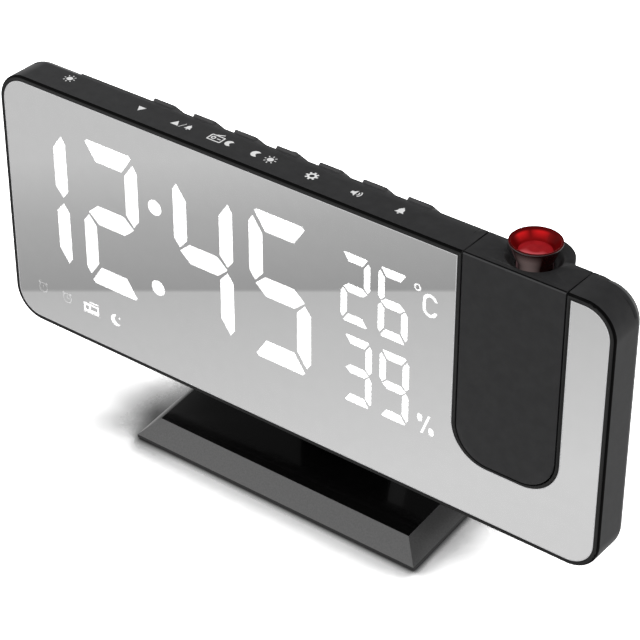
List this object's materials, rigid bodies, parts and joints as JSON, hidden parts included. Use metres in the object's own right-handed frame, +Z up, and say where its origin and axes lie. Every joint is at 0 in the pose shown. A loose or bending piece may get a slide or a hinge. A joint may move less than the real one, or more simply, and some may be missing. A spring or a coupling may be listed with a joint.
{
  "type": "projection alarm clock",
  "caption": "Slim mirror-fronted LED alarm clock leaning on a low stand, with a tilting side projector that carries a flared focus cup.",
  "frame": {"origin": "on the resting plane, under the middle of the stand's footprint", "axes": "+X to the right along the clock as its screen is read, +Y to the back, +Z up"},
  "size_m": [0.19, 0.058, 0.0978],
  "materials": {
    "housing": "fine-grained matte charcoal",
    "mirror": "semi-mirrored acrylic",
    "film": "black masking film",
    "diffuser_lit": "white diffuser, lit",
    "diffuser_dark": "smoked diffuser, unlit",
    "reflector": "white",
    "circuit_board": "green laminate",
    "led": "clear resin",
    "chip": "black epoxy",
    "switch": "grey",
    "key": "matte charcoal",
    "steel": "plated",
    "socket": "plated shell",
    "speaker_basket": "black",
    "paper": "pressed paper",
    "magnet": "plated",
    "cell": "wrapped can",
    "stand_gloss": "glossy black",
    "rubber": "matte",
    "tube": "black",
    "lens": "clear",
    "lcd": "tinted",
    "red_clear": "translucent red"
  },
  "bodies": {
    "clock": {"front_bezel": "housing", "mirror_screen": "mirror", "mask_film": "film", "time_diffusers_lit": "diffuser_lit", "time_diffusers_dark": "diffuser_dark", "climate_diffusers_lit": "diffuser_lit", "climate_diffusers_dark": "diffuser_dark", "symbol_diffusers": "diffuser_lit", "reflector_block": "reflector", "display_board": "circuit_board", "display_leds": "led", "rear_cover": "housing", "cover_screws": "steel", "key_board": "circuit_board", "key_switches": "switch", "main_board": "circuit_board", "main_chips": "chip", "usb_socket": "socket", "power_inlet": "socket", "speaker_frame": "speaker_basket", "speaker_cone": "paper", "speaker_magnet": "magnet", "battery_cells": "cell", "battery_contacts": "steel", "stand_base": "stand_gloss", "stand_neck": "stand_gloss", "stand_screws": "steel", "rubber_feet": "rubber"},
    "projector": {"projector_face": "housing", "projector_shell": "housing", "projector_screws": "steel", "hinge_pins": "steel", "friction_washers": "steel", "optical_tube": "tube", "projector_led_board": "circuit_board", "projector_led": "led", "condenser_lens": "lens", "lcd_slide": "lcd"},
    "focus_cup": {"focus_cup": "red_clear", "front_lens": "lens"},
    "lens_cell": {"lens_cell": "tube", "rear_lens": "lens"},
    "battery_door": {"battery_door": "housing"},
    "key_down": {"key_down": "key"},
    "key_up": {"key_up": "key"},
    "key_radio": {"key_radio": "key"},
    "key_snooze": {"key_snooze": "key"},
    "key_set": {"key_set": "key"},
    "key_volume": {"key_volume": "key"},
    "key_alarm": {"key_alarm": "key"}
  },
  "joints": [
    {"name": "projector_tilt", "type": "hinge", "parent": "clock", "child": "projector", "pos_m": [0.06725, -0.01063, 0.04811], "axis": [1, 0, 0], "range_deg": [-90, 0]},
    {"name": "focus_turn", "type": "hinge", "parent": "projector", "child": "focus_cup", "pos_m": [0.06725, -0.00286, 0.09301], "axis": [0, 0.1184, 0.993], "range_deg": [-135, 135]},
    {"name": "focus_slide", "type": "slide", "parent": "projector", "child": "lens_cell", "axis": [0, 0.1184, 0.993], "range_m": [-0.001, 0.001]},
    {"name": "key_down_press", "type": "slide", "parent": "clock", "child": "key_down", "axis": [0, -0.7965, -0.6046], "range_m": [0, 0.0005], "stiffness_N_per_m": 600, "springref_m": -0.001},
    {"name": "key_up_press", "type": "slide", "parent": "clock", "child": "key_up", "axis": [0, -0.7965, -0.6046], "range_m": [0, 0.0005], "stiffness_N_per_m": 600, "springref_m": -0.001},
    {"name": "key_radio_press", "type": "slide", "parent": "clock", "child": "key_radio", "axis": [0, -0.7965, -0.6046], "range_m": [0, 0.0005], "stiffness_N_per_m": 600, "springref_m": -0.001},
    {"name": "key_snooze_press", "type": "slide", "parent": "clock", "child": "key_snooze", "axis": [0, -0.7965, -0.6046], "range_m": [0, 0.0005], "stiffness_N_per_m": 600, "springref_m": -0.001},
    {"name": "key_set_press", "type": "slide", "parent": "clock", "child": "key_set", "axis": [0, -0.7965, -0.6046], "range_m": [0, 0.0005], "stiffness_N_per_m": 600, "springref_m": -0.001},
    {"name": "key_volume_press", "type": "slide", "parent": "clock", "child": "key_volume", "axis": [0, -0.7965, -0.6046], "range_m": [0, 0.0005], "stiffness_N_per_m": 600, "springref_m": -0.001},
    {"name": "key_alarm_press", "type": "slide", "parent": "clock", "child": "key_alarm", "axis": [0, -0.7965, -0.6046], "range_m": [0, 0.0005], "stiffness_N_per_m": 600, "springref_m": -0.001},
    {"name": "battery_door_slide", "type": "slide", "parent": "clock", "child": "battery_door", "axis": [0, -0.1184, -0.993], "range_m": [0, 0.012]}
  ],
  "couplings": [
    {"joint": "focus_turn", "follows": "focus_slide", "rad_per_m": 2356}
  ]
}
